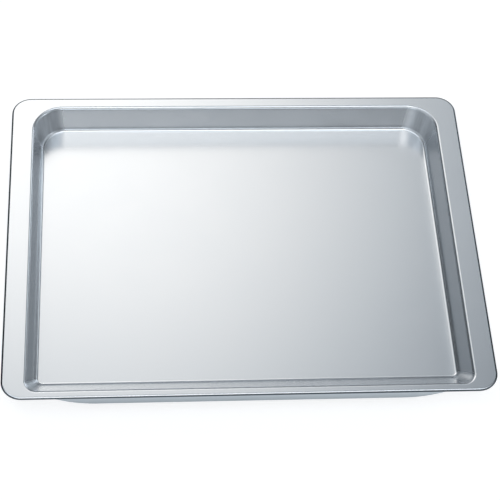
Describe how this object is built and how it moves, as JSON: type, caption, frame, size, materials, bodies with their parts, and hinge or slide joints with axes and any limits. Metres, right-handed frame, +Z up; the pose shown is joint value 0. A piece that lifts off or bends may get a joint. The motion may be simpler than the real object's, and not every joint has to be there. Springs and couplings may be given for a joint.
{
  "type": "oven tray",
  "caption": "Rimmed baking tray of satin steel sheet with a deep flat well, wide side flanges, a wired rolled edge and a folded grip strip under the front.",
  "frame": {"origin": "centre of the tray's footprint, on the underside of the floor", "axes": "X along the width between the two wide flanges, -Y towards the front edge with the grip strip, Z up out of the well"},
  "size_m": [0.456, 0.346, 0.0348],
  "materials": {
    "tray_sheet": "satin",
    "grip_sheet": "dull",
    "rim_wire": "plain drawn wire"
  },
  "bodies": {
    "root": {"tray_shell": "tray_sheet", "front_grip": "grip_sheet", "rim_wire": "rim_wire"}
  },
  "joints": []
}
